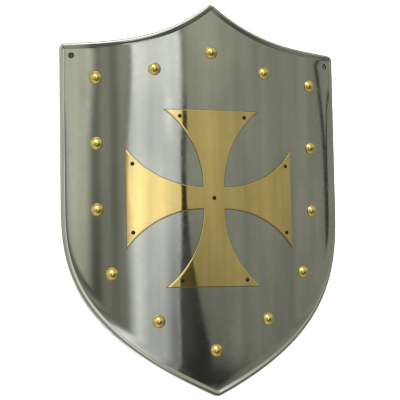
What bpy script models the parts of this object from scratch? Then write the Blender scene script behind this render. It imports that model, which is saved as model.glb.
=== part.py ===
"""Knight's shield: a heater-shaped steel plate rolled to a shallow arch, with a rolled rim, a riveted brass
cross pattee and a border of domed brass studs. It lies face up on its two long edges, peak towards +Y.

Every piece is laid out flat first, like a marked-out blank: x runs round the face, y runs up the shield
from its middle, and z is the height above the face. roll() then bends that layout to the arch.
"""
import math

import bmesh
import bpy
import numpy as np
from mathutils import Matrix, Vector

# Outline, measured on the flat blank and over the rim
HEIGHT = 0.610
WIDTH = 0.479
SHOULDER_DROP = 0.063
TOP_SWEEP = 3.1
SIDE_LENGTH = 0.242
POINT_SWEEP = 2.75
CORNER_EASE = 0.006

# Sheet, rim and arch
SHEET = 0.0012
RIM_RADIUS = 0.0036
FACE_RADIUS = 0.508

# Cross
CROSS_SPAN = 0.275
CROSS_SHEET = 0.0010
WAIST_WIDTH = 0.034
ARM_TIP_WIDTH = 0.154

# Studs: dome, shank and peened tail
STUD_WIDTH = 0.0198
STUD_DOME = 0.0062
STUD_EDGE = 0.0007
STUD_SHANK = 0.0048
STUD_TAIL_WIDTH = 0.0084
STUD_TAIL_HEIGHT = 0.0014

# Places of the studs: in from the sides, down from the top edge, and their places on the middle line
STUD_INSET = 0.057
STUD_DROP = 0.055
PEAK_STUD_DROP = 0.0765
TIP_STUD_RISE = 0.0695
SIDE_STEPS = 5

# Rivets that fix the cross
RIVET_WIDTH = 0.0064
RIVET_DOME = 0.0016
RIVET_SHANK = 0.0030
RIVET_TAIL_WIDTH = 0.0056
RIVET_TAIL_HEIGHT = 0.0011
RIVET_FROM_END = 0.0100
RIVET_FROM_TIP = 0.0240

# A peened tail's flatter crown as a share of its width, and its slope as a share of its height
TAIL_CROWN = 0.64
TAIL_SLOPE = 0.8

# Open holes in the top corners
HANGING_HOLE = 0.0064
HOLE_FROM_SIDE = 0.0190
HOLE_FROM_TOP = 0.0175

# Clearances between pieces that touch
SEAT_GAP = 0.0003
HOLE_GAP = 0.0003

# Fineness of the facets
BEND_FACETS = 45
CURVE_STEPS = 18
POINT_CROWDING = 0.8
ARM_STEPS = 9
EASE_STEPS = 3
RIM_RESOLUTION = 2
FASTENER_SIDES = 12
DOME_STEPS = 3
EASE_CLEAR = 1.2
FLAT_ANGLE = 0.001
WELD = 1e-6
CREASE_SNAP = 1e-7

# Colours as linear red, green and blue
STEEL = (0.36, 0.36, 0.33)
BRASS = (0.62, 0.46, 0.18)
DARK_STEEL = (0.03, 0.028, 0.025)

# The rim's centre line and the blank's own edge lie one rim radius inside the outline
EDGE_HALF = WIDTH / 2 - RIM_RADIUS
PEAK = HEIGHT / 2 - RIM_RADIUS
SHOULDER = PEAK - SHOULDER_DROP


def top_edge(x):
    """Height of the edge's centre line at x: level at the shoulder, sweeping up to the peak."""
    return SHOULDER + SHOULDER_DROP * (1 - abs(x) / EDGE_HALF) ** TOP_SWEEP


def half_edge():
    """Sharp-cornered centre line of the right half, as three stretches from the peak down to the tip."""
    across = np.linspace(0.0, EDGE_HALF, CURVE_STEPS + 1)
    top = np.column_stack([across, top_edge(across)])
    side_end = SHOULDER - SIDE_LENGTH
    side = np.array([[EDGE_HALF, SHOULDER], [EDGE_HALF, side_end]])
    down = np.linspace(0.0, 1.0, CURVE_STEPS + 1) ** POINT_CROWDING
    lower = np.column_stack([EDGE_HALF * (1 - down ** POINT_SWEEP), side_end + (-PEAK - side_end) * down])
    return top, side, lower


def run_along(path):
    """Distance from the start of a polyline to each of its points."""
    return np.concatenate([[0.0], np.cumsum(np.hypot(*np.diff(path, axis=0).T))])


def resample(path, places):
    """Points of a polyline at the given distances along it."""
    run = run_along(path)
    return np.column_stack([np.interp(places, run, path[:, i]) for i in (0, 1)])


def eased_corner(before, after):
    """Round the corner where two stretches meet: a parabola between points one ease from the corner."""
    corner = after[0]
    entry = resample(before[::-1], [CORNER_EASE])[0]
    leave = resample(after, [CORNER_EASE])[0]
    t = np.linspace(0.0, 1.0, EASE_STEPS + 1)[:, None]
    return (1 - t) ** 2 * entry + 2 * t * (1 - t) * corner + t ** 2 * leave


def trimmed(path):
    """A stretch without the points that crowd the eased corner at either end."""
    run = run_along(path)
    clear = CORNER_EASE * EASE_CLEAR
    return path[(run > clear) & (run < run[-1] - clear)]


def mirrored(path):
    return path * [-1, 1]


def edge_loop():
    """Closed centre line of the rim, clockwise from the peak, stretched back to full height after easing."""
    top, side, lower = half_edge()
    peak = eased_corner(mirrored(top)[::-1], top)
    tip = eased_corner(lower, mirrored(lower)[::-1])
    middle = EASE_STEPS / 2
    half = np.vstack([peak[math.ceil(middle):], trimmed(top), eased_corner(top, side), lower[:1],
                      trimmed(lower), tip[:math.floor(middle) + 1]])
    half[:, 1] *= np.where(half[:, 1] > 0, PEAK / half[:, 1].max(), PEAK / -half[:, 1].min())
    off_middle = half[half[:, 0] > WELD]
    return np.vstack([half, mirrored(off_middle)[::-1]])


def stud_places():
    """Flat places of the studs, from the peak down the right side to the tip and up the left side."""
    corner_x = WIDTH / 2 - STUD_INSET
    inset, drop = STUD_INSET - RIM_RADIUS, STUD_DROP - RIM_RADIUS
    corner = np.array([corner_x, top_edge(corner_x) - drop])
    peak = np.array([0.0, HEIGHT / 2 - PEAK_STUD_DROP])
    between = np.array([corner_x / 2, top_edge(corner_x / 2) - drop])
    lower = half_edge()[2]
    slope = np.gradient(lower, axis=0)
    inward = np.column_stack([slope[:, 1], -slope[:, 0]]) / np.hypot(*slope.T)[:, None]
    line = lower + inward * inset
    tip = np.array([0.0, TIP_STUD_RISE - HEIGHT / 2])
    line = np.vstack([corner, line[(line[:, 0] > 0) & (line[:, 1] > tip[1])], tip])
    right = resample(line, np.linspace(0.0, run_along(line)[-1], SIDE_STEPS + 1))
    ring = [between] + list(right[:-1])
    return [peak] + ring + [tip] + [mirrored(place) for place in ring[::-1]]


def rivet_places():
    """Flat places of the cross's rivets: the centre, then two near the outer corners of each arm."""
    out = CROSS_SPAN / 2 - RIVET_FROM_END
    side = ARM_TIP_WIDTH / 2 - RIVET_FROM_TIP
    quarter = [(side, out), (out, side)]
    places = [(sx * x, sy * y) for sx, sy in ((1, 1), (1, -1), (-1, -1), (-1, 1)) for x, y in quarter]
    return [np.array(place) for place in [(0.0, 0.0)] + places]


def hanging_places():
    """Flat places of the two open holes, in from each top corner."""
    x = WIDTH / 2 - HOLE_FROM_SIDE
    y = top_edge(x) + RIM_RADIUS - HOLE_FROM_TOP
    return [np.array([x, y]), np.array([-x, y])]


def cross_loop():
    """Outline of the cross: straight arm ends, and sides that flare as arcs tangent to the waist."""
    waist, tip, reach = WAIST_WIDTH / 2, ARM_TIP_WIDTH / 2, CROSS_SPAN / 2
    run, rise = reach - waist, tip - waist
    radius = (run ** 2 + rise ** 2) / (2 * rise)
    turn = np.linspace(0.0, math.asin(run / radius), ARM_STEPS + 1)
    along, out = waist + radius * np.sin(turn), waist + radius * (1 - np.cos(turn))
    right_arm = np.column_stack([along, out])
    upper_arm = np.column_stack([out, along])[::-1]
    quarter = np.vstack([upper_arm[:-1], right_arm])
    clockwise = np.array([[0, -1], [1, 0]])
    return np.vstack([quarter @ np.linalg.matrix_power(clockwise, turns) for turns in range(4)])


# The bend: the face is an arch of narrow flats, and everything follows the same flats
BEND_LINES = np.linspace(-EDGE_HALF, EDGE_HALF, BEND_FACETS + 1)
BEND_ANGLES = BEND_LINES / FACE_RADIUS


def roll(x, y, z):
    """Bend flat points to the arch, whose crown stays at x = 0 and height 0."""
    x, y, z = (np.asarray(value, dtype=float) for value in (x, y, z))
    sine = np.interp(x, BEND_LINES, np.sin(BEND_ANGLES))
    cosine = np.interp(x, BEND_LINES, np.cos(BEND_ANGLES))
    reach = FACE_RADIUS + z
    return np.stack(np.broadcast_arrays(reach * sine, y, reach * cosine - FACE_RADIUS), axis=-1)


def seat(place):
    """Matrix that stands a fastener on the face at a flat place, square to the arch there."""
    turn = Matrix.Rotation(place[0] / FACE_RADIUS, 4, "Y")
    return Matrix.Translation(Vector(roll(place[0], place[1], 0.0))) @ turn


def clear_scene():
    for item in list(bpy.data.objects):
        bpy.data.objects.remove(item, do_unlink=True)


def new_collection(name):
    collection = bpy.data.collections.new(name)
    bpy.context.scene.collection.children.link(collection)
    return collection


def metal(name, colour, roughness):
    material = bpy.data.materials.new(name)
    material.use_nodes = True
    shader = material.node_tree.nodes["Principled BSDF"]
    shader.inputs["Base Color"].default_value = (*colour, 1.0)
    shader.inputs["Metallic"].default_value = 1.0
    shader.inputs["Roughness"].default_value = roughness
    material.diffuse_color = (*colour, 1.0)
    return material


def add_object(name, data, collection, parent, material=None):
    item = bpy.data.objects.new(name, data)
    collection.objects.link(item)
    item.parent = parent
    if material is not None and not data.materials:
        data.materials.append(material)
    return item


def hide_guide(item):
    item.hide_render = True
    item.display_type = "WIRE"


def poly_spline(curve, points):
    spline = curve.splines.new("POLY")
    spline.points.add(len(points) - 1)
    spline.points.foreach_set("co", np.column_stack([points, np.ones(len(points))]).ravel())
    spline.use_cyclic_u = True


def mesh_of_curve(curve, name):
    """Closed mesh of a curve, with its caps welded; the curve itself is removed."""
    holder = bpy.data.objects.new(name + "_curve", curve)
    bpy.context.scene.collection.objects.link(holder)
    bpy.context.view_layer.update()
    evaluated = holder.evaluated_get(bpy.context.evaluated_depsgraph_get())
    mesh = bpy.data.meshes.new_from_object(evaluated)
    mesh.name = name
    bpy.data.objects.remove(holder, do_unlink=True)
    bpy.data.curves.remove(curve)
    work = bmesh.new()
    work.from_mesh(mesh)
    bmesh.ops.remove_doubles(work, verts=work.verts, dist=WELD)
    work.to_mesh(mesh)
    work.free()
    return mesh


def rolled_sheet(name, loop, thickness, underside):
    """Flat blank of the loop's outline, creased at every bend line and bent to the arch."""
    curve = bpy.data.curves.new(name, "CURVE")
    curve.dimensions = "2D"
    curve.fill_mode = "BOTH"
    curve.extrude = thickness / 2
    poly_spline(curve, np.column_stack([loop, np.zeros(len(loop))]))
    mesh = mesh_of_curve(curve, name)
    work = bmesh.new()
    work.from_mesh(mesh)
    bmesh.ops.dissolve_limit(work, angle_limit=FLAT_ANGLE, verts=work.verts, edges=work.edges)
    for line in BEND_LINES[1:-1]:
        everything = work.verts[:] + work.edges[:] + work.faces[:]
        bmesh.ops.bisect_plane(work, geom=everything, dist=CREASE_SNAP, plane_co=(line, 0, 0),
                               plane_no=(1, 0, 0))
    flat = np.array([vertex.co for vertex in work.verts])
    bent = roll(flat[:, 0], flat[:, 1], flat[:, 2] + underside + thickness / 2)
    for vertex, place in zip(work.verts, bent):
        vertex.co = place
    bmesh.ops.recalc_face_normals(work, faces=work.faces)
    work.to_mesh(mesh)
    work.free()
    return mesh


def rim_mesh():
    """Round bead of the rolled edge, carried along the blank's edge at half the sheet's thickness."""
    loop = edge_loop()
    curve = bpy.data.curves.new("rim_roll", "CURVE")
    curve.dimensions = "3D"
    curve.twist_mode = "Z_UP"
    curve.bevel_depth = RIM_RADIUS
    curve.bevel_resolution = RIM_RESOLUTION
    poly_spline(curve, roll(loop[:, 0], loop[:, 1], -SHEET / 2))
    return mesh_of_curve(curve, "rim_roll")


def hole_cutters():
    """One mesh of all the punches: studs, rivets and the two open holes."""
    work = bmesh.new()
    depth = 4 * (SHEET + SEAT_GAP + CROSS_SHEET)
    sizes = [(stud_places(), STUD_SHANK / 2 + HOLE_GAP), (rivet_places(), RIVET_SHANK / 2 + HOLE_GAP),
             (hanging_places(), HANGING_HOLE / 2)]
    for places, radius in sizes:
        for place in places:
            bmesh.ops.create_cone(work, cap_ends=True, segments=FASTENER_SIDES, radius1=radius,
                                  radius2=radius, depth=depth, matrix=seat(place))
    mesh = bpy.data.meshes.new("punches")
    work.to_mesh(mesh)
    work.free()
    return mesh


def dome_arc(width, height, base):
    """Half profile of a low dome, from its pole to its edge, standing on the height base."""
    half = width / 2
    radius = (half ** 2 + height ** 2) / (2 * height)
    edge_angle = math.atan2(half, radius - height)
    angles = np.linspace(0.0, edge_angle, DOME_STEPS + 1)
    return [(radius * math.sin(a), base + height - radius * (1 - math.cos(a))) for a in angles]


def fastener_profile(name, width, dome, edge, shank, tail_width, tail_height, seat_height):
    """Half profile of a rivet, pole to pole: dome, flat underside, shank through the sheets, peened tail."""
    tail_top = -SHEET - SEAT_GAP
    points = dome_arc(width, dome, seat_height + edge)
    if edge > 0:
        points.append((width / 2, seat_height))
    points += [(shank / 2, seat_height), (shank / 2, tail_top), (tail_width / 2, tail_top),
               (tail_width / 2 * TAIL_CROWN, tail_top - tail_height * TAIL_SLOPE),
               (0.0, tail_top - tail_height)]
    mesh = bpy.data.meshes.new(name)
    mesh.from_pydata([(r, 0.0, z) for r, z in points], [(i, i + 1) for i in range(len(points) - 1)], [])
    return mesh


def add_fasteners(name, profile, places, collection, parent, material):
    for number, place in enumerate(places, start=1):
        item = add_object(f"{name}_{number:02d}", profile, collection, parent, material)
        item.matrix_local = seat(place)
        turned = item.modifiers.new("Turned", "SCREW")
        turned.axis = "Z"
        turned.angle = 2 * math.pi
        turned.steps = FASTENER_SIDES
        turned.render_steps = FASTENER_SIDES
        turned.use_merge_vertices = True
        turned.merge_threshold = WELD


def add_boolean(item, other, operation):
    modifier = item.modifiers.new(operation.title(), "BOOLEAN")
    modifier.operation = operation
    modifier.solver = "EXACT"
    modifier.object = other


def build():
    clear_scene()
    parts = new_collection("knight_shield")
    guides = new_collection("punches_and_rim")
    steel = metal("satin_steel", STEEL, 0.28)
    brass = metal("polished_brass", BRASS, 0.22)
    dark = metal("blackened_steel", DARK_STEEL, 0.45)

    rim_data = rim_mesh()
    lowest = min(vertex.co.z for vertex in rim_data.vertices)
    ground = bpy.data.objects.new("ground", None)
    ground.location.z = -lowest
    parts.objects.link(ground)

    rim = add_object("rim_roll", rim_data, guides, ground)
    punches = add_object("punches", hole_cutters(), guides, ground)
    for guide in (rim, punches):
        hide_guide(guide)

    plate_data = rolled_sheet("shield_plate", edge_loop(), SHEET, -SHEET)
    plate = add_object("shield_plate", plate_data, parts, ground, steel)
    add_boolean(plate, rim, "UNION")
    add_boolean(plate, punches, "DIFFERENCE")

    cross_data = rolled_sheet("brass_cross", cross_loop(), CROSS_SHEET, SEAT_GAP)
    cross = add_object("brass_cross", cross_data, parts, ground, brass)
    add_boolean(cross, punches, "DIFFERENCE")

    stud = fastener_profile("stud", STUD_WIDTH, STUD_DOME, STUD_EDGE, STUD_SHANK, STUD_TAIL_WIDTH,
                            STUD_TAIL_HEIGHT, SEAT_GAP)
    add_fasteners("stud", stud, stud_places(), parts, ground, brass)
    rivet = fastener_profile("rivet", RIVET_WIDTH, RIVET_DOME, 0.0, RIVET_SHANK, RIVET_TAIL_WIDTH,
                             RIVET_TAIL_HEIGHT, CROSS_SHEET + 2 * SEAT_GAP)
    add_fasteners("rivet", rivet, rivet_places(), parts, ground, dark)
    bpy.context.view_layer.update()


build()
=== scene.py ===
"""Knight's shield, lying face up: satin steel, rolled rim, riveted brass cross and brass studs.

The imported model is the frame. Every piece below is laid out flat first, with x round the face, y up the
shield and z above the face, and is then bent to the shield's arch and set down where its solid lies.
"""
import math

import bpy
import numpy as np
from mathutils import Matrix, Vector


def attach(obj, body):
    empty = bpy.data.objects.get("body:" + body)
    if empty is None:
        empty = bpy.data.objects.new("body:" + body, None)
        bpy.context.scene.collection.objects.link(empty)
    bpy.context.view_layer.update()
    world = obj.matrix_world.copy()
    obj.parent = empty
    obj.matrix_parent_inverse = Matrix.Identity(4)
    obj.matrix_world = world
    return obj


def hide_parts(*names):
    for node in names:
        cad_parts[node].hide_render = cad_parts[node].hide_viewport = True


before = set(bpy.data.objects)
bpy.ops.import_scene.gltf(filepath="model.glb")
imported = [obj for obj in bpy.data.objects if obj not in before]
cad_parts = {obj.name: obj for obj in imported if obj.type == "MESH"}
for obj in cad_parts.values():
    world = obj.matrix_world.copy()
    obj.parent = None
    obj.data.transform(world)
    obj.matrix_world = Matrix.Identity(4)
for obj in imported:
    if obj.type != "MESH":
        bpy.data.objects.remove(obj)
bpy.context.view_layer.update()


# Shield plate. One heater-shaped blank of 1.2 mm sheet steel, rolled to a shallow arch and polished to a
# satin face. Its whole edge is turned over a wire into a round bead, and the two top corners are punched
# for hanging.
FACE_RADIUS = 0.508
CROWN_HEIGHT = 0.057905
SHEET = 0.0012
BEAD = 0.0036
BEAD_RISE = 0.0024
HOLLOW = 0.0075
FLARE = 0.0011
FLARE_WIDTH = 0.016
FLARE_LEAST = 0.2
FLARE_MIDDLE = -0.03
FLARE_REACH = 0.26
FLARE_FADE = 0.08
EDGE_HALF = 0.479 / 2 - BEAD
PEAK = 0.610 / 2 - BEAD
SHOULDER_DROP = 0.063
SHOULDER = PEAK - SHOULDER_DROP
SIDE_END = SHOULDER - 0.242
TOP_SWEEP = 3.1
POINT_SWEEP = 2.75
CORNER_EASE = 0.006
HANGING_HOLE = 0.0064
HOLE_PLACE = (0.2205, 0.22408)
# width of the painted shade round each hanging hole
HOLE_SHADE_WIDTH = 0.0010
GROOVE_DEPTHS = (0.0009, 0.0007)
# Place in the bead's section, spread, and fading towards the tip of the painted shade line in the hollow
# beside the bead
CREASE_PLACE = (0.0057, 0.0002)
CREASE_WIDTH = 0.0017
CREASE_SHADE_LOW = -0.12
CREASE_FADE = 0.2
CREASE_LEAST = 0.1
NET_COLUMNS = 231
NET_STEPS = 121
NET_CROWDING = 0.13
SHARP = 40.0


def bent(flat):
    """Flat points carried to the arch: x becomes the angle x / FACE_RADIUS round the cylinder whose axis
    runs along Y, z lengthens the radius, and the crown is lifted to its height above the floor."""
    angle = flat[..., 0] / FACE_RADIUS
    radius = FACE_RADIUS + flat[..., 2]
    return np.stack([radius * np.sin(angle), flat[..., 1],
                     radius * np.cos(angle) - FACE_RADIUS + CROWN_HEIGHT], axis=-1)


def run_along(path):
    """Distance from the start of a line of points to each of them: the running sum of the steps."""
    return np.concatenate([[0.0], np.cumsum(np.linalg.norm(np.diff(path, axis=0), axis=1))])


def at_distances(path, distances):
    """Points of a line at the given distances along it, by straight interpolation."""
    run = run_along(path)
    return np.column_stack([np.interp(distances, run, path[:, i]) for i in range(path.shape[1])])


def eased(before, after, steps=9):
    """Parabola that rounds the corner where two lines meet: the blend (1-t)^2, 2t(1-t), t^2 of the point
    one ease before the corner, the corner, and the point one ease after it."""
    t = np.linspace(0.0, 1.0, steps)[:, None]
    entry = at_distances(before[::-1], [CORNER_EASE])
    leave = at_distances(after, [CORNER_EASE])
    return (1 - t) ** 2 * entry + 2 * t * (1 - t) * after[:1] + t ** 2 * leave


def between_eases(path, points):
    """The stretch of a line between its two eased corners, at even distances."""
    length = run_along(path)[-1]
    return at_distances(path, np.linspace(CORNER_EASE, length - CORNER_EASE, points)[1:-1])


def bead_line():
    """Closed line of the bead, clockwise from the peak. Top edge: height falls from the peak to the shoulder
    as (1 - x / half width) ^ 3.1. Side: straight. Lower edge: half width times 1 - t ^ 2.75, with t from the
    side's end to the tip. Corners are eased, and the line is stretched back to its full height."""
    mirror = np.array([-1.0, 1.0])
    across = np.linspace(0.0, EDGE_HALF, 400)
    top = np.column_stack([across, SHOULDER + SHOULDER_DROP * (1 - across / EDGE_HALF) ** TOP_SWEEP])
    side = np.array([[EDGE_HALF, SHOULDER], [EDGE_HALF, SIDE_END]])
    down = np.linspace(0.0, 1.0, 400) ** 0.8
    lower = np.column_stack([EDGE_HALF * (1 - down ** POINT_SWEEP), SIDE_END - (PEAK + SIDE_END) * down])
    flank = np.vstack([side[:1], lower])
    peak = eased((top * mirror)[::-1], top)
    tip = eased(lower, (lower * mirror)[::-1])
    half = np.vstack([peak[len(peak) // 2:], between_eases(top, 90), eased(top, side),
                      between_eases(flank, 190), tip[:len(tip) // 2 + 1]])
    half[:, 1] *= np.where(half[:, 1] > 0, PEAK / half[:, 1].max(), -PEAK / half[:, 1].min())
    return np.vstack([half, (half[1:-1] * mirror)[::-1]])


def grid_faces(rows, columns, wrapped=False):
    """Four-sided faces of a grid of points numbered row by row; a wrapped grid joins its last row and
    column to its first."""
    row, column = np.meshgrid(np.arange(rows - (not wrapped)), np.arange(columns - (not wrapped)),
                              indexing="ij")
    below, right = (row + 1) % rows, (column + 1) % columns
    return np.stack([row * columns + column, row * columns + right,
                     below * columns + right, below * columns + column], axis=-1).reshape(-1, 4)


def closed_sheet(face, back, quads):
    """Shell with a face and a back of the same net. Its wall stands on the net's free edges, which are the
    edges that only one of the quads uses."""
    count = len(face)
    edges = np.stack([quads, np.roll(quads, -1, axis=1)], axis=-1).reshape(-1, 2)
    keys = np.sort(edges, axis=1) @ [count, 1]
    found, times = np.unique(keys, return_counts=True)
    free = edges[np.isin(keys, found[times == 1])]
    wall = np.column_stack([free[:, 1], free[:, 0], free[:, 0] + count, free[:, 1] + count])
    return np.vstack([face, back]), np.vstack([quads, quads[:, ::-1] + count, wall])


def new_mesh(name, points, faces):
    """Mesh of the points and faces, smooth except where two faces meet at more than 40 degrees."""
    mesh = bpy.data.meshes.new(name)
    mesh.from_pydata(points, [], faces)
    mesh.update(calc_edges=True)
    mesh.shade_smooth()
    mesh.set_sharp_from_angle(angle=math.radians(SHARP))
    return mesh


def new_piece(mesh, material):
    """Object of the mesh, at the origin, with its material."""
    piece = bpy.data.objects.new(mesh.name, mesh)
    bpy.context.scene.collection.objects.link(piece)
    mesh.materials.clear()
    mesh.materials.append(material)
    return piece


def flare(distance):
    """Height that the rolling of the edge gives the sheet: a parabola that starts at zero and level, one
    flare width in from the bead's line, and rises towards it."""
    return FLARE * np.clip(1.0 - distance / FLARE_WIDTH, 0.0, 1.0) ** 2


def flare_strength(up):
    """Share of the flare at a height up the shield: all of it along the sides, fading in a straight line to
    the least share at the top edge and at the tip."""
    return np.clip((FLARE_REACH - abs(up - FLARE_MIDDLE)) / FLARE_FADE, FLARE_LEAST, 1.0)


def distance_to_line(points, corners):
    """Distance of each flat point from a closed line: the least over the line's segments of the distance to
    the nearest point of the segment, found by clamping the projection."""
    start, step = corners, np.roll(corners, -1, axis=0) - corners
    offset = points[:, None, :] - start[None]
    share = np.clip((offset * step).sum(-1) / (step ** 2).sum(-1), 0.0, 1.0)
    return np.linalg.norm(offset - share[..., None] * step, axis=-1).min(axis=1)


def hollow_arc(strength):
    """Arc of the hollow between the face and the bead, and the bead's angle where it ends. The arc is tangent
    to the flared face and to the bead, so its middle is where the line one hollow's radius off the face meets
    the line as far off the bead. Both lines are laid out as points, and the crossing is read between them."""
    start = np.linspace(0.002, 0.014, 600)
    slope = 2 * strength * FLARE / FLARE_WIDTH * np.clip(1.0 - start / FLARE_WIDTH, 0.0, 1.0)
    lean = np.arctan(slope)
    off_face = np.array([start + HOLLOW * np.sin(lean), strength * flare(start) + HOLLOW * np.cos(lean)])
    turn = np.linspace(0.2, 1.5, 600)
    square = np.array([np.cos(turn) / BEAD, np.sin(turn) / BEAD_RISE])
    square /= np.hypot(*square)
    bead = np.array([BEAD * np.cos(turn), BEAD_RISE * np.sin(turn) - SHEET / 2])
    off_bead = bead + HOLLOW * square
    above = off_bead[1] - np.interp(off_bead[0], *off_face)
    touch, steep = np.interp(0.0, above, turn), np.interp(0.0, above, np.arctan2(square[0], square[1]))
    middle = np.array([np.interp(0.0, above, part) for part in off_bead])
    start, lean = np.interp(middle[0], off_face[0], start), np.interp(middle[0], off_face[0], lean)
    swing = -math.pi / 2 - lean + (lean - steep) * np.linspace(0.0, 1.0, 20) ** 1.4
    return middle + HOLLOW * np.column_stack([np.cos(swing), np.sin(swing)]), start, touch


def bead_profile(strength):
    """Section of the turned edge as distance in from the bead's line and height above the face: down the
    hollow from the face, round the bead, which is half an ellipse in front, where it is hammered flatter, and
    half a circle behind, and back into the sheet, where the cut edge of the turned metal leaves a groove."""
    arc, start, touch = hollow_arc(strength)
    turn = np.linspace(touch, 2 * math.pi - 0.62, 40)
    tall = np.where(turn < math.pi, BEAD_RISE, BEAD)
    bead = np.column_stack([BEAD * np.cos(turn), tall * np.sin(turn) - SHEET / 2])
    groove = np.array([[BEAD * 0.86, -SHEET - GROOVE_DEPTHS[0]], [BEAD * 0.98, -SHEET - GROOVE_DEPTHS[1]],
                       [BEAD * 1.06, -SHEET], [BEAD * 1.06, -2 * SHEET / 3], [start, -SHEET / 3]])
    groove[2:, 1] += strength * flare(groove[2:, 0])
    return np.vstack([arc, bead[1:], groove])


def swept_bead(line, weak, strong):
    """The profile carried round the line, blended from the weak and the strong one by the flare's strength.
    At each point of the line the section's first axis is the inward normal, from the difference of the
    neighbours, and its second stands on the face."""
    ahead = np.roll(line, -1, axis=0) - np.roll(line, 1, axis=0)
    inward = np.column_stack([ahead[:, 1], -ahead[:, 0]]) / np.linalg.norm(ahead, axis=1)[:, None]
    share = (flare_strength(line[:, 1]) - FLARE_LEAST) / (1.0 - FLARE_LEAST)
    profile = weak[None] + share[:, None, None] * (strong - weak)[None]
    place = line[:, None, :] + inward[:, None, :] * profile[..., :1]
    points = bent(np.concatenate([place, profile[..., 1:]], axis=-1)).reshape(-1, 3)
    return points, grid_faces(len(line), len(weak), wrapped=True)


def plate_net(line):
    """Net of the blank: even columns across, and in each column steps from the lower edge to the top edge,
    both read from the bead's line. The steps crowd towards both edges, as t - crowding sin(2 pi t)."""
    right = line[line[:, 0] >= 0]
    upper, lower = right[right[:, 1] > 0], right[right[:, 1] <= 0]
    columns = np.linspace(-EDGE_HALF, EDGE_HALF, NET_COLUMNS)
    top = np.interp(abs(columns), *upper[np.argsort(upper[:, 0])].T)
    bottom = np.interp(abs(columns), *lower[np.argsort(lower[:, 0])].T)
    step = np.linspace(0.0, 1.0, NET_STEPS)[:, None]
    step = step - NET_CROWDING * np.sin(2 * math.pi * step)
    y = bottom + (top - bottom) * step
    x = np.broadcast_to(columns, y.shape)
    return np.stack([x, y], axis=-1).reshape(-1, 2), grid_faces(*y.shape)


def upright_punch(place, radius, sides=40, reach=0.004):
    """Two rings of points through the sheet at a flat place, square to the arch there, and the faces that
    close them into a short rod."""
    turn = np.linspace(0.0, 2 * math.pi, sides, endpoint=False)
    ring = np.column_stack([radius * np.cos(turn), radius * np.sin(turn)])
    tilt = place[0] / FACE_RADIUS
    foot = bent(np.array([place[0], place[1], -SHEET / 2]))
    normal = np.array([math.sin(tilt), 0.0, math.cos(tilt)])
    along = np.array([math.cos(tilt), 0.0, -math.sin(tilt)])
    flat = foot + ring[:, :1] * along + ring[:, 1:] * np.array([0.0, 1.0, 0.0])
    side = np.arange(sides)
    after = (side + 1) % sides
    walls = np.column_stack([side, after, after + sides, side + sides])
    caps = [side[::-1].tolist(), (side + sides).tolist()]
    return np.vstack([flat - normal * reach, flat + normal * reach]), walls.tolist() + caps


def punched(piece, places, radius):
    """Cut the rods at the places out of a piece, and keep the result as its mesh."""
    points, faces = zip(*(upright_punch(place, radius) for place in places))
    faces = [[corner + number * len(points[0]) for corner in face]
             for number, rod in enumerate(faces) for face in rod]
    rods = bpy.data.meshes.new("punch")
    rods.from_pydata(np.vstack(points), [], faces)
    punch = bpy.data.objects.new("punch", rods)
    bpy.context.scene.collection.objects.link(punch)
    cut = piece.modifiers.new("punched", "BOOLEAN")
    cut.operation, cut.solver, cut.object = "DIFFERENCE", "EXACT", punch
    bpy.context.view_layer.update()
    whole = piece.evaluated_get(bpy.context.evaluated_depsgraph_get())
    mesh = bpy.data.meshes.new_from_object(whole)
    piece.modifiers.clear()
    old, piece.data = piece.data, mesh
    bpy.data.meshes.remove(old)
    bpy.data.objects.remove(punch)
    bpy.data.meshes.remove(rods)


def add_node(tree, kind, inputs=None, **settings):
    """Add a node: its own settings by name, and each input either linked to a socket or set to a value."""
    item = tree.nodes.new(kind)
    for name, value in settings.items():
        setattr(item, name, value)
    for name, value in (inputs or {}).items():
        if isinstance(value, bpy.types.NodeSocket):
            tree.links.new(value, item.inputs[name])
        else:
            item.inputs[name].default_value = value
    return item


def maths(tree, operation, *values):
    """Output of a Math node on sockets or numbers."""
    return add_node(tree, "ShaderNodeMath", dict(enumerate(values)), operation=operation).outputs[0]


def noise(tree, place, scale, detail=3.0, stretch=(1.0, 1.0, 1.0), roughness=0.5):
    """Noise value, from 0 to 1 about a half, on the place stretched along each axis."""
    grain = add_node(tree, "ShaderNodeMapping", {"Vector": place, "Scale": stretch})
    cloud = add_node(tree, "ShaderNodeTexNoise", {"Vector": grain.outputs[0], "Scale": scale,
                                                  "Detail": detail, "Roughness": roughness})
    return cloud.outputs["Fac"]


def ramp(tree, factor, stops):
    """Colour ramp through the stops, each a position and a colour or a grey."""
    item = add_node(tree, "ShaderNodeValToRGB", {"Fac": factor})
    band = item.color_ramp
    for index, (position, colour) in enumerate(stops):
        stop = band.elements[index] if index < 2 else band.elements.new(position)
        stop.position = position
        stop.color = (*colour, 1.0) if isinstance(colour, tuple) else (colour, colour, colour, 1.0)
    return item.outputs["Color"]


def mixed(tree, factor, first, second, blend="MIX"):
    """Colour mix of two sockets or colours."""
    item = add_node(tree, "ShaderNodeMix", data_type="RGBA", blend_type=blend)
    for index, value in ((0, factor), (6, first), (7, second)):
        if isinstance(value, bpy.types.NodeSocket):
            tree.links.new(value, item.inputs[index])
        elif isinstance(value, tuple):
            item.inputs[index].default_value = (*value, 1.0)
        else:
            item.inputs[index].default_value = value
    return item.outputs[2]


def stepped(tree, value, low, high, start=0.0, end=1.0):
    """Value carried smoothly from start to end as it goes from low to high."""
    item = add_node(tree, "ShaderNodeMapRange", {"Value": value, "From Min": low, "From Max": high,
                                                 "To Min": start, "To Max": end},
                    interpolation_type="SMOOTHSTEP")
    return item.outputs["Result"]


def relief(tree, layers):
    """Bumps one on another, each a height socket and its depth in metres from 0 to 1 of the height."""
    normal = None
    for height, depth in layers:
        inputs = {"Height": height, "Distance": depth, "Strength": 1.0}
        if normal is not None:
            inputs["Normal"] = normal
        normal = add_node(tree, "ShaderNodeBump", inputs).outputs["Normal"]
    return normal


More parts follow.
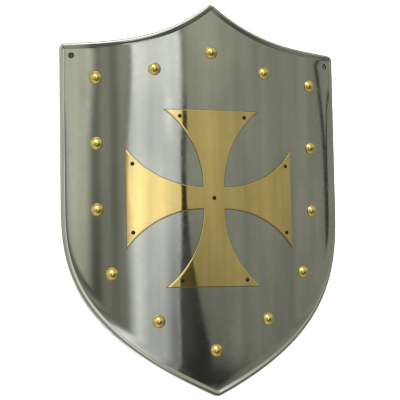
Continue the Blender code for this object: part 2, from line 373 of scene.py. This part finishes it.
def metal(name):
    """New material with an all-metal shader, its node tree, its shader and the object's coordinates."""
    material = bpy.data.materials.new(name)
    material.use_nodes = True
    tree = material.node_tree
    shader = tree.nodes["Principled BSDF"]
    shader.inputs["Metallic"].default_value = 1.0
    place = add_node(tree, "ShaderNodeTexCoord").outputs["Object"]
    return material, tree, shader, place


def satin_steel():
    """Sheet steel polished by hand: slow waves left by the rolls, cloudy swirls and fine lines left by the
    polishing mop, faint stains and wiped patches, and a duller back. Painted shade: a patchy black line in
    the hollow beside the bead, and a near black ring round each hanging hole, which is also rough."""
    material, tree, shader, place = metal("satin_steel")
    stain = noise(tree, place, 7.0, 4.0)
    swirl = noise(tree, place, 75.0, 5.0, roughness=0.62)
    lines = noise(tree, place, 260.0, 4.0, (1.0, 0.05, 0.3))
    cross_lines = noise(tree, place, 300.0, 4.0, (0.06, 1.0, 0.06))
    waves = noise(tree, place, 11.0, 1.0, (1.0, 0.6, 1.0))
    wiped = noise(tree, place, 16.0, 4.0, (1.0, 0.5, 1.0), 0.55)
    back = add_node(tree, "ShaderNodeAttribute", attribute_name="behind").outputs["Fac"]
    crease_shade = add_node(tree, "ShaderNodeAttribute", attribute_name="crease_shade").outputs["Fac"]
    crease_shade = maths(tree, "MULTIPLY", crease_shade, stepped(tree, waves, 0.35, 0.6, 0.5))
    mirrored = add_node(tree, "ShaderNodeVectorMath", {0: place}, operation="ABSOLUTE").outputs[0]
    # Painted shade: near black round each hanging hole, out to one width past it and fading over another, and
    # rough there
    hole = tuple(bent(np.array([*HOLE_PLACE, 0.0])))
    away = add_node(tree, "ShaderNodeVectorMath", {0: mirrored, 1: hole}, operation="DISTANCE")
    near, far = HANGING_HOLE / 2 + HOLE_SHADE_WIDTH, HANGING_HOLE / 2 + 2 * HOLE_SHADE_WIDTH
    hole_shade = stepped(tree, away.outputs["Value"], near, far, 0.95, 0.0)

    colour = ramp(tree, stain, [(0.30, (0.520, 0.542, 0.460)), (0.62, (0.556, 0.578, 0.494))])
    colour = mixed(tree, stepped(tree, swirl, 0.35, 0.75, 0.0, 0.35), colour, (0.475, 0.495, 0.420))
    colour = mixed(tree, stepped(tree, wiped, 0.50, 0.72, 0.0, 0.5), colour, (0.44, 0.46, 0.40))
    # painted shade: a patchy black line in the hollow beside the bead
    colour = mixed(tree, crease_shade, colour, (0.10, 0.10, 0.08))
    colour = mixed(tree, back, colour, (0.36, 0.36, 0.32))
    # painted shade round the hanging holes
    colour = mixed(tree, hole_shade, colour, (0.03, 0.03, 0.025))
    tree.links.new(colour, shader.inputs["Base Color"])

    polish = stepped(tree, swirl, 0.30, 0.78, 0.055, 0.095)
    rough = maths(tree, "ADD", polish, maths(tree, "MULTIPLY", back, 0.25))
    tree.links.new(maths(tree, "MAXIMUM", rough, hole_shade), shader.inputs["Roughness"])

    normal = relief(tree, [(waves, 0.00016), (swirl, 0.0000028),
                           (lines, 0.0000006), (cross_lines, 0.0000006)])
    tree.links.new(normal, shader.inputs["Normal"])
    return material


def point_attribute(mesh, name, values):
    """Store one number for each point of the mesh."""
    mesh.attributes.new(name, "FLOAT", "POINT").data.foreach_set("value", values.astype(np.float32))


steel = satin_steel()
line = bead_line()
net, quads = plate_net(line)
from_edge = np.concatenate([distance_to_line(part, line[::3]) for part in np.array_split(net, 40)])
lifted = flare_strength(net[:, 1]) * flare(from_edge)
front = bent(np.column_stack([net, lifted]))
rear = bent(np.column_stack([net, lifted - SHEET]))
sheet_points, sheet_faces = closed_sheet(front, rear, quads)
sheet_mesh = new_mesh("steel_plate", sheet_points, sheet_faces)
point_attribute(sheet_mesh, "behind", np.repeat([0.0, 1.0], len(net)))
plate = new_piece(sheet_mesh, steel)
punched(plate, [HOLE_PLACE, (-HOLE_PLACE[0], HOLE_PLACE[1])], HANGING_HOLE / 2)
plate.data.set_sharp_from_angle(angle=math.radians(SHARP))

profile = bead_profile(1.0)
bead_points, bead_faces = swept_bead(line, bead_profile(FLARE_LEAST), profile)
bead_mesh = new_mesh("steel_rim", bead_points, bead_faces)
behind = np.clip(-(profile[:, 1] + SHEET / 2) / BEAD, 0.0, 1.0)
# Painted shade: how much of the black line each point of the bead's section takes, weaker towards the tip
crease_shade = np.clip(1.0 - np.linalg.norm(profile - CREASE_PLACE, axis=1) / CREASE_WIDTH, 0.0, 1.0)
crease_shade_share = np.clip((line[:, 1] - CREASE_SHADE_LOW) / CREASE_FADE, CREASE_LEAST, 1.0)
point_attribute(bead_mesh, "behind", np.tile(behind, len(line)))
point_attribute(bead_mesh, "crease_shade", np.outer(crease_shade_share, crease_shade).reshape(-1))
rim = new_piece(bead_mesh, steel)

for piece in (plate, rim):
    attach(piece, "root")
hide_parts("shield_plate")
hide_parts("shield_plate")


# Brass cross. A cross with flaring arms cut from 1 mm sheet brass, its sides arcs that leave a narrow waist
# and its arm ends straight. Its edge is filed, its face is polished, and it is bent to lie on the plate.
CROSS_REACH = 0.275 / 2
CROSS_WAIST = 0.034 / 2
CROSS_TIP = 0.154 / 2
CROSS_FOOT = 0.0001
CROSS_TOP = 0.0013
CROSS_FILED = 0.0007
CROSS_MARGIN = 1.2 * CROSS_FILED
# Reach of the painted shade line on the plate round the cross
CROSS_SHADE_NEAR = 0.0002
CROSS_SHADE_FAR = 0.0011


def arm_half_width(along):
    """Half the width of an arm at a distance from the cross's middle: the waist up to the waist's own
    distance, then an arc tangent to the arm, whose radius is (run^2 + rise^2) / (2 rise)."""
    run, rise = CROSS_REACH - CROSS_WAIST, CROSS_TIP - CROSS_WAIST
    radius = (run ** 2 + rise ** 2) / (2 * rise)
    out = np.clip(along - CROSS_WAIST, 0.0, None)
    return CROSS_WAIST + radius - np.sqrt(radius ** 2 - out ** 2)


def crowded(half, inner, steps):
    """Places from -half to half: even inside, and crowded towards each end, where the edge is filed."""
    inset = inner * np.array([0.0, 0.1, 0.3, 0.6, 1.0])
    middle = np.linspace(-1.0, 1.0, steps)[1:-1]
    half = np.asarray(half, dtype=float)[..., None]
    return np.concatenate([-(half - inset), middle * (half - inner), (half - inset)[..., ::-1]], axis=-1)


def cross_net():
    """Flat net of the cross: a square at the waist, and four arms whose rows run out from it. In a row the
    places run from side to side, so that rows widen as the arm does."""
    square = crowded(CROSS_WAIST, CROSS_MARGIN, 41)
    across, up = np.meshgrid(square, square)
    parts = [np.stack([across, up], axis=-1)]
    along = np.concatenate([np.linspace(CROSS_WAIST, CROSS_REACH - 0.001, 55),
                            CROSS_REACH - CROSS_MARGIN * np.array([1.0, 0.6, 0.3, 0.1, 0.0])])
    rows = crowded(arm_half_width(along), CROSS_MARGIN, 41)
    arm = np.stack([rows, np.broadcast_to(along[:, None], rows.shape)], axis=-1)
    quarter = np.array([[0.0, 1.0], [-1.0, 0.0]])
    parts += [arm @ np.linalg.matrix_power(quarter, turns) for turns in range(4)]
    faces, start = [], 0
    for part in parts:
        faces.append(grid_faces(*part.shape[:2]) + start)
        start += part.shape[0] * part.shape[1]
    return np.vstack([part.reshape(-1, 2) for part in parts]), np.vstack(faces)


def welded(points, quads, near=1e-6):
    """Points that share a place made one, and the faces renumbered to them."""
    _, first, number = np.unique(np.round(points / near), axis=0, return_index=True, return_inverse=True)
    return points[first], number.reshape(-1)[quads]


def cross_outline():
    """Closed outline of the cross, a quarter of it turned four times."""
    along = np.linspace(CROSS_WAIST, CROSS_REACH, 60)
    side = np.column_stack([arm_half_width(along), along])
    quarter = np.vstack([side[::-1], side[1:, ::-1]])
    clockwise = np.array([[0.0, -1.0], [1.0, 0.0]])
    return np.vstack([quarter @ np.linalg.matrix_power(clockwise, turns) for turns in range(4)])


def brass_sheet():
    """Polished sheet brass: warm golden colour with a slow tarnish and duller swirls, painted shade on the
    filed edge, fine polishing lines, and slight waves, since the thin sheet was bent by hand."""
    material, tree, shader, place = metal("polished_brass")
    tarnish = noise(tree, place, 14.0, 4.0)
    swirl = noise(tree, place, 90.0, 4.0, roughness=0.6)
    lines = noise(tree, place, 320.0, 4.0, (1.0, 0.05, 0.3))
    waves = noise(tree, place, 13.0, 1.0)
    edge = add_node(tree, "ShaderNodeAttribute", attribute_name="edge").outputs["Fac"]
    colour = ramp(tree, tarnish, [(0.32, (0.900, 0.695, 0.245)), (0.66, (0.950, 0.765, 0.315))])
    colour = mixed(tree, stepped(tree, swirl, 0.5, 0.8, 0.0, 0.3), colour, (0.74, 0.54, 0.18))
    # painted shade: the filed edge darkened to dark brown
    colour = mixed(tree, edge, colour, (0.16, 0.09, 0.03))
    tree.links.new(colour, shader.inputs["Base Color"])
    tree.links.new(stepped(tree, swirl, 0.3, 0.8, 0.03, 0.06), shader.inputs["Roughness"])
    normal = relief(tree, [(waves, 0.00010), (swirl, 0.000005), (lines, 0.0000006)])
    tree.links.new(normal, shader.inputs["Normal"])
    return material


def cross_margin(tree, place):
    """Distance of a point of the plate outside the cross. The point is unrolled, the larger of its two
    distances from the middle is taken along the nearest arm and the smaller across it, and the margin is
    the greater of the gap to the arm's arc, square to the arc, and the gap to the arm's end."""
    run, rise = CROSS_REACH - CROSS_WAIST, CROSS_TIP - CROSS_WAIST
    radius = (run ** 2 + rise ** 2) / (2 * rise)
    parts = add_node(tree, "ShaderNodeSeparateXYZ", {"Vector": place}).outputs
    turn = maths(tree, "ARCTAN2", parts["X"], maths(tree, "ADD", parts["Z"], FACE_RADIUS - CROWN_HEIGHT))
    across = maths(tree, "ABSOLUTE", maths(tree, "MULTIPLY", turn, FACE_RADIUS))
    up = maths(tree, "ABSOLUTE", parts["Y"])
    along, aside = maths(tree, "MAXIMUM", across, up), maths(tree, "MINIMUM", across, up)
    out = maths(tree, "MAXIMUM", maths(tree, "SUBTRACT", along, CROSS_WAIST), 0.0)
    under = maths(tree, "SUBTRACT", radius ** 2, maths(tree, "MULTIPLY", out, out))
    root = maths(tree, "SQRT", maths(tree, "MAXIMUM", under, 1e-6))
    gap = maths(tree, "ADD", maths(tree, "SUBTRACT", aside, CROSS_WAIST + radius), root)
    square_gap = maths(tree, "MULTIPLY", gap, maths(tree, "DIVIDE", root, radius))
    return maths(tree, "MAXIMUM", square_gap, maths(tree, "SUBTRACT", along, CROSS_REACH))


def paint_cross_shade(material):
    """Painted shade on the plate: a thin, patchy dark line round the cross, where its edge stands off the
    plate, and rougher there.
    """
    tree = material.node_tree
    shader = tree.nodes["Principled BSDF"]
    place = add_node(tree, "ShaderNodeTexCoord").outputs["Object"]
    patchy = stepped(tree, noise(tree, place, 60.0), 0.35, 0.6, 0.55)
    cover = stepped(tree, cross_margin(tree, place), CROSS_SHADE_NEAR, CROSS_SHADE_FAR, 1.0, 0.0)
    cover = maths(tree, "MULTIPLY", cover, patchy)
    unshaded_colour = shader.inputs["Base Color"].links[0].from_socket
    # painted shade line round the cross
    tree.links.new(mixed(tree, cover, unshaded_colour, (0.10, 0.075, 0.045)), shader.inputs["Base Color"])
    smooth = shader.inputs["Roughness"].links[0].from_socket
    tree.links.new(maths(tree, "MULTIPLY_ADD", cover, 0.3, smooth), shader.inputs["Roughness"])


cross_flat, cross_quads = welded(*cross_net())
filed = np.clip(CROSS_FILED - distance_to_line(cross_flat, cross_outline()), 0.0, CROSS_FILED)
fall = CROSS_FILED - np.sqrt(CROSS_FILED ** 2 - filed ** 2)
cross_face = bent(np.column_stack([cross_flat, CROSS_TOP - fall]))
cross_back = bent(np.column_stack([cross_flat, np.full(len(cross_flat), CROSS_FOOT)]))
cross_points, cross_faces = closed_sheet(cross_face, cross_back, cross_quads)
cross_mesh = new_mesh("brass_cross_sheet", cross_points, cross_faces)
# Painted shade: share of dark brown on the filed edge, growing towards the outer edge
point_attribute(cross_mesh, "edge", np.tile(np.clip(filed / CROSS_FILED - 0.25, 0.0, 1.0), 2))
cross = new_piece(cross_mesh, brass_sheet())
# painted shade line round the cross, on the steel
paint_cross_shade(steel)
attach(cross, "root")
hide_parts("brass_cross")


# Studs. Fourteen solid brass studs with domed heads 20 mm wide stand in a border round the face. Each shank
# goes through the plate, and its end is hammered over behind.
STUD_HALF = 0.0099
STUD_DOME = 0.0062
STUD_LIP = 0.0007
STUD_SHANK = 0.0024
STUD_TAIL = 0.0042
STUD_TAIL_HEIGHT = 0.0014
STUD_TARNISH = 0.0016
STUD_SIDES = 48
STUD_UNEVEN = 0.05
HEAD_GAP = 0.0001
TAIL_GAP = 0.0001


def dome_profile(half, rise, base, steps):
    """Radius and height along a round dome, from its pole to its edge: an arc of the circle whose radius is
    (half^2 + rise^2) / (2 rise)."""
    radius = (half ** 2 + rise ** 2) / (2 * rise)
    angle = np.linspace(0.0, math.atan2(half, radius - rise), steps)
    return np.column_stack([radius * np.sin(angle), base + rise - radius * (1 - np.cos(angle))])


def tail_profile(shank, half, rise):
    """Radius and height of a hammered tail, from the shank behind the sheet to its flattened crown."""
    top = -SHEET - TAIL_GAP
    share = np.array([[0.96, 0.0], [1.0, 0.18], [0.97, 0.42], [0.84, 0.70], [0.62, 0.88], [0.34, 0.97],
                      [0.0, 1.0]])
    tail = np.column_stack([half * share[:, 0], top - rise * share[:, 1]])
    return np.vstack([[shank, top], tail])


def turned(profile, sides, seed, uneven):
    """Solid turned from a profile that starts and ends on the axis. The last third of the profile, the tail,
    swells and shrinks round the axis by the share uneven, as a sum of three waves."""
    turn = np.linspace(0.0, 2 * math.pi, sides, endpoint=False)
    phase = np.random.default_rng(seed).uniform(0.0, 2 * math.pi, 3)
    swell = sum(np.sin((k + 2) * turn + phase[k]) / (k + 2) for k in range(3))
    tail = np.clip((-SHEET - profile[1:-1, 1]) / STUD_TAIL_HEIGHT, 0.0, 1.0)[:, None] ** 0.25
    reach = profile[1:-1, :1] * (1 + uneven * swell * tail)
    rings = np.stack([reach * np.cos(turn), reach * np.sin(turn),
                      np.broadcast_to(profile[1:-1, 1:], reach.shape)], axis=-1).reshape(-1, 3)
    points = np.vstack([[0.0, 0.0, profile[0, 1]], rings, [0.0, 0.0, profile[-1, 1]]])
    count = len(profile) - 2
    ring, side = np.meshgrid(np.arange(count - 1), np.arange(sides), indexing="ij")
    after = (side + 1) % sides
    quads = np.stack([1 + ring * sides + side, 1 + (ring + 1) * sides + side,
                      1 + (ring + 1) * sides + after, 1 + ring * sides + after], axis=-1).reshape(-1, 4)
    side = np.arange(sides)
    after = (side + 1) % sides
    last = 1 + (count - 1) * sides
    pole = np.column_stack([np.zeros(sides, int), 1 + side, 1 + after])
    foot = np.column_stack([np.full(sides, len(points) - 1), last + after, last + side])
    return points, quads.tolist() + pole.tolist() + foot.tolist()


def seated(points, node):
    """Points stood on the face where a fastener's solid stands: its middle gives the place up the shield and
    the angle round the arch, whose radius is square to the face."""
    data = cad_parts[node].data
    corners = np.empty(len(data.vertices) * 3)
    data.vertices.foreach_get("co", corners)
    x, y, z = corners.reshape(-1, 3).mean(axis=0)
    angle = math.atan2(x, z - CROWN_HEIGHT + FACE_RADIUS)
    turn = np.array([[math.cos(angle), 0.0, math.sin(angle)], [0.0, 1.0, 0.0],
                     [-math.sin(angle), 0.0, math.cos(angle)]])
    foot = bent(np.array([angle * FACE_RADIUS, y, 0.0]))
    return points @ turn.T + foot


def stud_brass():
    """Solid brass, machine polished: an even gold with brown tarnish low on the dome and tiny dents."""
    material, tree, shader, place = metal("stud_brass")
    tarnish = noise(tree, place, 120.0, 3.0)
    dents = noise(tree, place, 420.0, 2.0)
    low = add_node(tree, "ShaderNodeAttribute", attribute_name="low").outputs["Fac"]
    colour = ramp(tree, tarnish, [(0.35, (0.78, 0.59, 0.17)), (0.65, (0.92, 0.74, 0.26))])
    colour = mixed(tree, low, colour, (0.36, 0.24, 0.08))
    tree.links.new(colour, shader.inputs["Base Color"])
    tree.links.new(stepped(tree, tarnish, 0.3, 0.7, 0.09, 0.15), shader.inputs["Roughness"])
    tree.links.new(relief(tree, [(dents, 0.00003)]), shader.inputs["Normal"])
    return material


gold = stud_brass()
lip = np.array([[STUD_HALF, HEAD_GAP + STUD_LIP * 0.4], [STUD_HALF * 0.985, HEAD_GAP],
                [STUD_SHANK, HEAD_GAP]])
stud_profile = np.vstack([dome_profile(STUD_HALF, STUD_DOME, HEAD_GAP + STUD_LIP, 18), lip,
                          tail_profile(STUD_SHANK, STUD_TAIL, STUD_TAIL_HEIGHT)])
for number in range(1, 15):
    node = f"stud_{number:02d}"
    points, faces = turned(stud_profile, STUD_SIDES, number, STUD_UNEVEN)
    mesh = new_mesh(f"brass_stud_{number:02d}", seated(points, node), faces)
    point_attribute(mesh, "low", 0.8 * np.clip(1.0 - points[:, 2] / STUD_TARNISH, 0.0, 1.0) ** 1.5)
    stud = new_piece(mesh, gold)
    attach(stud, "root")
    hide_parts(node)


# Rivets. Nine small steel rivets, blackened, hold the cross: one in the middle and two near the corners of
# each arm. Their low heads stand on the brass, and their tails are hammered over behind the plate.
RIVET_HALF = 0.0032
RIVET_DOME = 0.0016
RIVET_SHANK = 0.0015
RIVET_TAIL = 0.0028
RIVET_TAIL_HEIGHT = 0.0011
RIVET_SIDES = 28
RIVET_UNEVEN = 0.06
RIVET_SEEDS = 40


def blackened_steel():
    """Oil-blackened steel: near black and soft of sheen, rubbed to grey in spots, with a pitted skin."""
    material, tree, shader, place = metal("blackened_steel")
    rubbed = noise(tree, place, 500.0, 3.0)
    pits = noise(tree, place, 1500.0, 2.0)
    colour = ramp(tree, rubbed, [(0.45, (0.030, 0.028, 0.022)), (0.75, (0.12, 0.115, 0.10))])
    tree.links.new(colour, shader.inputs["Base Color"])
    tree.links.new(stepped(tree, rubbed, 0.3, 0.7, 0.42, 0.28), shader.inputs["Roughness"])
    tree.links.new(relief(tree, [(pits, 0.00003)]), shader.inputs["Normal"])
    return material


black = blackened_steel()
rivet_profile = np.vstack([dome_profile(RIVET_HALF, RIVET_DOME, CROSS_TOP + HEAD_GAP, 10),
                           [[RIVET_SHANK, CROSS_TOP + HEAD_GAP]],
                           tail_profile(RIVET_SHANK, RIVET_TAIL, RIVET_TAIL_HEIGHT)])
for number in range(1, 10):
    node = f"rivet_{number:02d}"
    points, faces = turned(rivet_profile, RIVET_SIDES, RIVET_SEEDS + number, RIVET_UNEVEN)
    rivet = new_piece(new_mesh(f"black_rivet_{number:02d}", seated(points, node), faces), black)
    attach(rivet, "root")
    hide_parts(node)


# Studio. The shield lies on a pale table in a cloth tent, whose walls stand along it and show in the steel
# as upright bands: a soft left wall, a dim gap for the camera, a bright cloth, a narrow dark seam that opens
# into a wedge, and a dim right wall. Two soft lamps light the table, and the metal doesn't show them.
FLOOR_HALF = 6.0
LAMP_POWER = 4.8
LAMP_SPREAD = 25.0
LAMP_LEAN = (0.4, -0.4, 0.82)
WARM, COOL = (1.0, 0.99, 0.88), (1.0, 1.0, 1.04)
WALLS = [  # start, end and softness in degrees round the shield, light at the foot and at the top, and tint
    (7.8, 22.0, 8.0, 0.21, 0.41, WARM),       # near part of the right wall
    (42.0, 56.0, 8.0, 0.245, 0.34, WARM),     # fold further along it
    (-40.0, -14.0, 2.0, 0.23, 0.32, WARM),    # gap for the camera
    (-30.4, -26.8, 2.4, 0.09, 0.20, WARM),    # first fold in the gap
    (-22.6, -19.4, 2.4, 0.22, 0.20, WARM),    # second fold in the gap
    (76.0, 110.0, 3.0, 0.16, 0.20, WARM),     # strip past the bowed line
]
CLOTH_FOLDS = [
    (-9.0, -2.0, 6.0, 0.72, 0.78, COOL),      # sag in the cloth
    (-1.0, 5.2, 6.0, 0.30, 0.86, COOL),       # far half of the cloth
]


def tinted(level, tint):
    """Light of a level and a tint."""
    return tuple(level * part for part in tint)


def graded(tree, share, low, high, tint):
    """Light of one tint whose level goes from low to high with the share."""
    return mixed(tree, share, tinted(low, tint), tinted(high, tint))


def both(tree, first, second):
    """Share in which two shares hold at once: their product."""
    return maths(tree, "MULTIPLY", first, second)


def between(tree, value, start, end, soft):
    """1 from start to end and 0 outside, as a rise times a fall, each soft wide."""
    return both(tree, stepped(tree, value, start - soft / 2, start + soft / 2),
                stepped(tree, value, end - soft / 2, end + soft / 2, 1.0, 0.0))


def panels(tree, light, angle, up, rows):
    """Upright panels painted on the light in turn, each between two angles and graded upwards."""
    for start, end, soft, foot, top, tint in rows:
        light = mixed(tree, between(tree, angle, start, end, soft), light, graded(tree, up, foot, top, tint))
    return light


def cloth(tree, light, angle, rise, up):
    """Bright cloth with its folds. Its left hem leans to the right as it rises and is sharp in its upper
    part, and its right end is straight."""
    hem = maths(tree, "ADD", stepped(tree, rise, 0.10, 0.19, -15.8, -13.7),
                stepped(tree, rise, -0.01, 0.06, 1.0, 0.0))
    spread = stepped(tree, rise, 0.05, 0.09, 2.6, 0.8)
    past_hem = maths(tree, "DIVIDE", maths(tree, "SUBTRACT", angle, hem), spread)
    spanned = both(tree, stepped(tree, past_hem, -1.0, 1.0), stepped(tree, angle, 4.0, 6.4, 1.0, 0.0))
    bright = graded(tree, stepped(tree, rise, 0.12, 0.19), 0.94, 1.12, COOL)
    return panels(tree, mixed(tree, spanned, light, bright), angle, up, CLOTH_FOLDS)


def left_wall(tree, light, angle, rise, up):
    """Soft left wall, whose corner leans to the right as it rises."""
    corner = stepped(tree, rise, 0.12, 0.2, -31.8, -28.6)
    inside = stepped(tree, maths(tree, "SUBTRACT", angle, corner), -2.2, 2.2, 1.0, 0.0)
    return mixed(tree, inside, light, graded(tree, up, 0.42, 0.74, WARM))


def bright_places(tree, light, angle, rise):
    """Where light from outside comes through: a spot on the cloth with a light of its own, a belt below it
    and all of the upper middle, which both add a share of the light that is there."""
    spot = both(tree, between(tree, angle, -1.0, 2.5, 4.0), between(tree, rise, 0.135, 0.165, 0.03))
    light = mixed(tree, spot, light, tinted(1.3, COOL))
    belt = both(tree, between(tree, angle, -14.0, 2.0, 6.0), between(tree, rise, 0.05, 0.108, 0.025))
    light = mixed(tree, maths(tree, "MULTIPLY", belt, 0.2), light, light, blend="ADD")
    upper = both(tree, between(tree, angle, -20.0, 30.0, 30.0), stepped(tree, rise, 0.15, 0.2, 0.0, 0.24))
    return mixed(tree, upper, light, light, blend="ADD")


def rumpled(tree, light, angle, rise):
    """The light made up to a seventh darker or lighter by soft upright creases of the fabric."""
    place = add_node(tree, "ShaderNodeCombineXYZ", {"X": maths(tree, "DIVIDE", angle, 5.0),
                                                    "Y": maths(tree, "MULTIPLY", rise, 4.0)}).outputs[0]
    creases = stepped(tree, noise(tree, place, 1.0, 3.0), 0.25, 0.75, 0.86, 1.14)
    scaled = add_node(tree, "ShaderNodeVectorMath", {0: light, "Scale": creases}, operation="SCALE")
    return scaled.outputs["Vector"]


def seam(tree, light, angle, rise):
    """Dark seam between the cloth and the right wall. Below a rise of 0.08 its right edge runs out as
    7.5 + 22 d + 360 d^2 degrees, d below it, so that it opens into a wedge. It fades out at the top."""
    low = maths(tree, "MAXIMUM", maths(tree, "SUBTRACT", 0.08, rise), 0.0)
    right = maths(tree, "MULTIPLY_ADD", low, maths(tree, "MULTIPLY_ADD", low, 360.0, 22.0),
                  stepped(tree, rise, 0.10, 0.14, 7.5, 8.2))
    left = maths(tree, "ADD", stepped(tree, rise, 0.0, 0.05, 4.2, 5.3),
                 stepped(tree, rise, 0.125, 0.145, 0.0, 0.9))
    inside = both(tree, stepped(tree, maths(tree, "SUBTRACT", angle, left), -0.4, 0.4),
                  stepped(tree, maths(tree, "SUBTRACT", right, angle), -0.3, 0.6))
    inside = both(tree, inside, stepped(tree, rise, 0.14, 0.18, 1.0, 0.3))
    inside = both(tree, inside, stepped(tree, rise, -0.34, -0.20))
    dark = graded(tree, stepped(tree, angle, 6.0, 14.0), 0.085, 0.036, WARM)
    dark = mixed(tree, stepped(tree, rise, 0.03, 0.07), dark, tinted(0.03, WARM))
    dark = mixed(tree, between(tree, rise, 0.10, 0.138, 0.012), dark, tinted(0.10, WARM))
    return mixed(tree, inside, light, dark)


def bowed_line(tree, light, angle, rise):
    """Dark line of a bent tent pole, at 73.1 - 480 h^2 degrees, h the rise above 0.09."""
    high = maths(tree, "MAXIMUM", maths(tree, "SUBTRACT", rise, 0.09), 0.0)
    pole = maths(tree, "MULTIPLY_ADD", maths(tree, "MULTIPLY", high, high), -480.0, 73.1)
    on_pole = between(tree, maths(tree, "SUBTRACT", angle, pole), -0.9, 0.9, 0.5)
    return mixed(tree, on_pole, light, tinted(0.04, WARM))


def foot_of_tent(tree, light, angle, rise):
    """Below the walls: the dark end of the wedge, the pale table in front, and a dark strip between them,
    which the domes of the studs show."""
    shore = maths(tree, "SUBTRACT", rise, stepped(tree, angle, 16.0, 27.0, -0.058, -0.066))
    dark = both(tree, between(tree, angle, 5.0, 42.0, 8.0), stepped(tree, shore, -0.008, 0.008, 1.0, 0.0))
    dark = both(tree, dark, stepped(tree, rise, -0.34, -0.20))
    light = mixed(tree, dark, light, tinted(0.04, WARM))
    table = graded(tree, stepped(tree, angle, -15.0, 15.0), 0.62, 0.42, WARM)
    light = mixed(tree, stepped(tree, rise, -0.72, -0.58, 1.0, 0.0), light, table)
    strip = both(tree, between(tree, angle, -34.0, 34.0, 20.0), between(tree, rise, -0.80, -0.34, 0.16))
    return mixed(tree, strip, light, tinted(0.13, WARM))


def ceiling(tree, light, angle, rise, way):
    """The tent's roof: warm at the left, bright in the middle and dim at the right, dimmer overhead, with
    the round softbox in it."""
    roof = mixed(tree, stepped(tree, angle, -18.0, -12.0), tinted(0.80, WARM), tinted(1.1, COOL))
    roof = mixed(tree, stepped(tree, angle, 4.0, 24.0), roof, tinted(0.55, WARM))
    light = mixed(tree, stepped(tree, rise, 0.24, 0.36), light, roof)
    light = mixed(tree, stepped(tree, rise, 0.50, 0.80), light, tinted(0.58, WARM))
    facing = add_node(tree, "ShaderNodeVectorMath", {0: way, 1: (-0.35, 0.72, 0.60)}, operation="DOT_PRODUCT")
    return mixed(tree, stepped(tree, facing.outputs["Value"], 0.925, 0.955), light, tinted(2.2, COOL))


def tent(world):
    """Light of the tent in each direction, painted on in turn, one part of the tent after another. The angle
    is measured round the shield's long axis, from straight up to the right, and the rise is how far the
    direction leans towards the peak. The camera itself sees a plain pale backdrop."""
    world.use_nodes = True
    tree = world.node_tree
    way = add_node(tree, "ShaderNodeTexCoord").outputs["Generated"]
    parts = add_node(tree, "ShaderNodeSeparateXYZ", {"Vector": way}).outputs
    angle = maths(tree, "DEGREES", maths(tree, "ARCTAN2", parts["X"], parts["Z"]))
    rise = parts["Y"]
    up = stepped(tree, rise, -0.05, 0.12)
    light = graded(tree, up, 0.28, 0.34, WARM)
    light = panels(tree, light, angle, up, WALLS)
    light = cloth(tree, light, angle, rise, up)
    light = left_wall(tree, light, angle, rise, up)
    light = bright_places(tree, light, angle, rise)
    light = rumpled(tree, light, angle, rise)
    light = seam(tree, light, angle, rise)
    light = bowed_line(tree, light, angle, rise)
    light = foot_of_tent(tree, light, angle, rise)
    light = ceiling(tree, light, angle, rise, way)
    below_table = graded(tree, stepped(tree, parts["X"], -0.3, 0.3), 0.62, 0.42, WARM)
    light = mixed(tree, stepped(tree, parts["Z"], -0.10, 0.05, 1.0, 0.0), light, below_table)
    seen = add_node(tree, "ShaderNodeLightPath").outputs["Is Camera Ray"]
    light = mixed(tree, seen, light, (0.93, 0.93, 0.92))
    tree.links.new(light, tree.nodes["Background"].inputs["Color"])


def pale_table():
    """Pale matt laminate with a barely visible grain."""
    material = bpy.data.materials.new("pale_table")
    material.use_nodes = True
    tree = material.node_tree
    shader = tree.nodes["Principled BSDF"]
    place = add_node(tree, "ShaderNodeTexCoord").outputs["Object"]
    tree.links.new(ramp(tree, noise(tree, place, 40.0), [(0.3, 0.88), (0.7, 0.91)]),
                   shader.inputs["Base Color"])
    shader.inputs["Roughness"].default_value = 0.9
    return material


corner = FLOOR_HALF * np.array([[-1, -1, 0], [1, -1, 0], [1, 1, 0], [-1, 1, 0]])
floor = new_piece(new_mesh("table", corner, [(0, 1, 2, 3)]), pale_table())
floor.visible_glossy = False
bpy.context.scene.world = bpy.data.worlds.new("tent")
tent(bpy.context.scene.world)
bpy.context.scene.world.cycles_visibility.diffuse = False
for side in (-1, 1):
    lamp = bpy.data.lights.new("soft_lamp", "SUN")
    lamp.energy = LAMP_POWER
    lamp.angle = math.radians(LAMP_SPREAD)
    above = bpy.data.objects.new("soft_lamp", lamp)
    lean = Vector(LAMP_LEAN) * Vector((side, side, 1.0))
    above.rotation_euler = lean.to_track_quat("Z", "Y").to_euler()
    above.visible_glossy = False
    bpy.context.scene.collection.objects.link(above)
bpy.context.scene.view_settings.view_transform = "Standard"

# The camera stands to the left of the shield's face and a little below its middle, and looks nearly
# square at it. Yaw, pitch and roll turn the shield's axes to the camera's, and its stand is measured along
# the camera's own axes from the shield's crown.
YAW, PITCH, ROLL = (math.radians(degrees) for degrees in (18.06, -4.39, 1.03))
FOCAL_PIXELS = 1173.7
IMAGE_WIDTH = 400
SENSOR_WIDTH = 36.0
STAND = (-0.02184, -0.00317, 1.8239)
camera_data = bpy.data.cameras.new("camera")
camera_data.sensor_width = SENSOR_WIDTH
camera_data.lens = FOCAL_PIXELS / IMAGE_WIDTH * SENSOR_WIDTH
camera_data.clip_start = 0.05
camera = bpy.data.objects.new("camera", camera_data)
bpy.context.scene.collection.objects.link(camera)
look = Matrix.Rotation(-YAW, 3, "Y") @ Matrix.Rotation(-PITCH, 3, "X") @ Matrix.Rotation(-ROLL, 3, "Z")
stand = look @ Vector(STAND) + Vector((0.0, 0.0, CROWN_HEIGHT))
camera.matrix_world = Matrix.Translation(stand) @ look.to_4x4()
bpy.context.scene.camera = camera
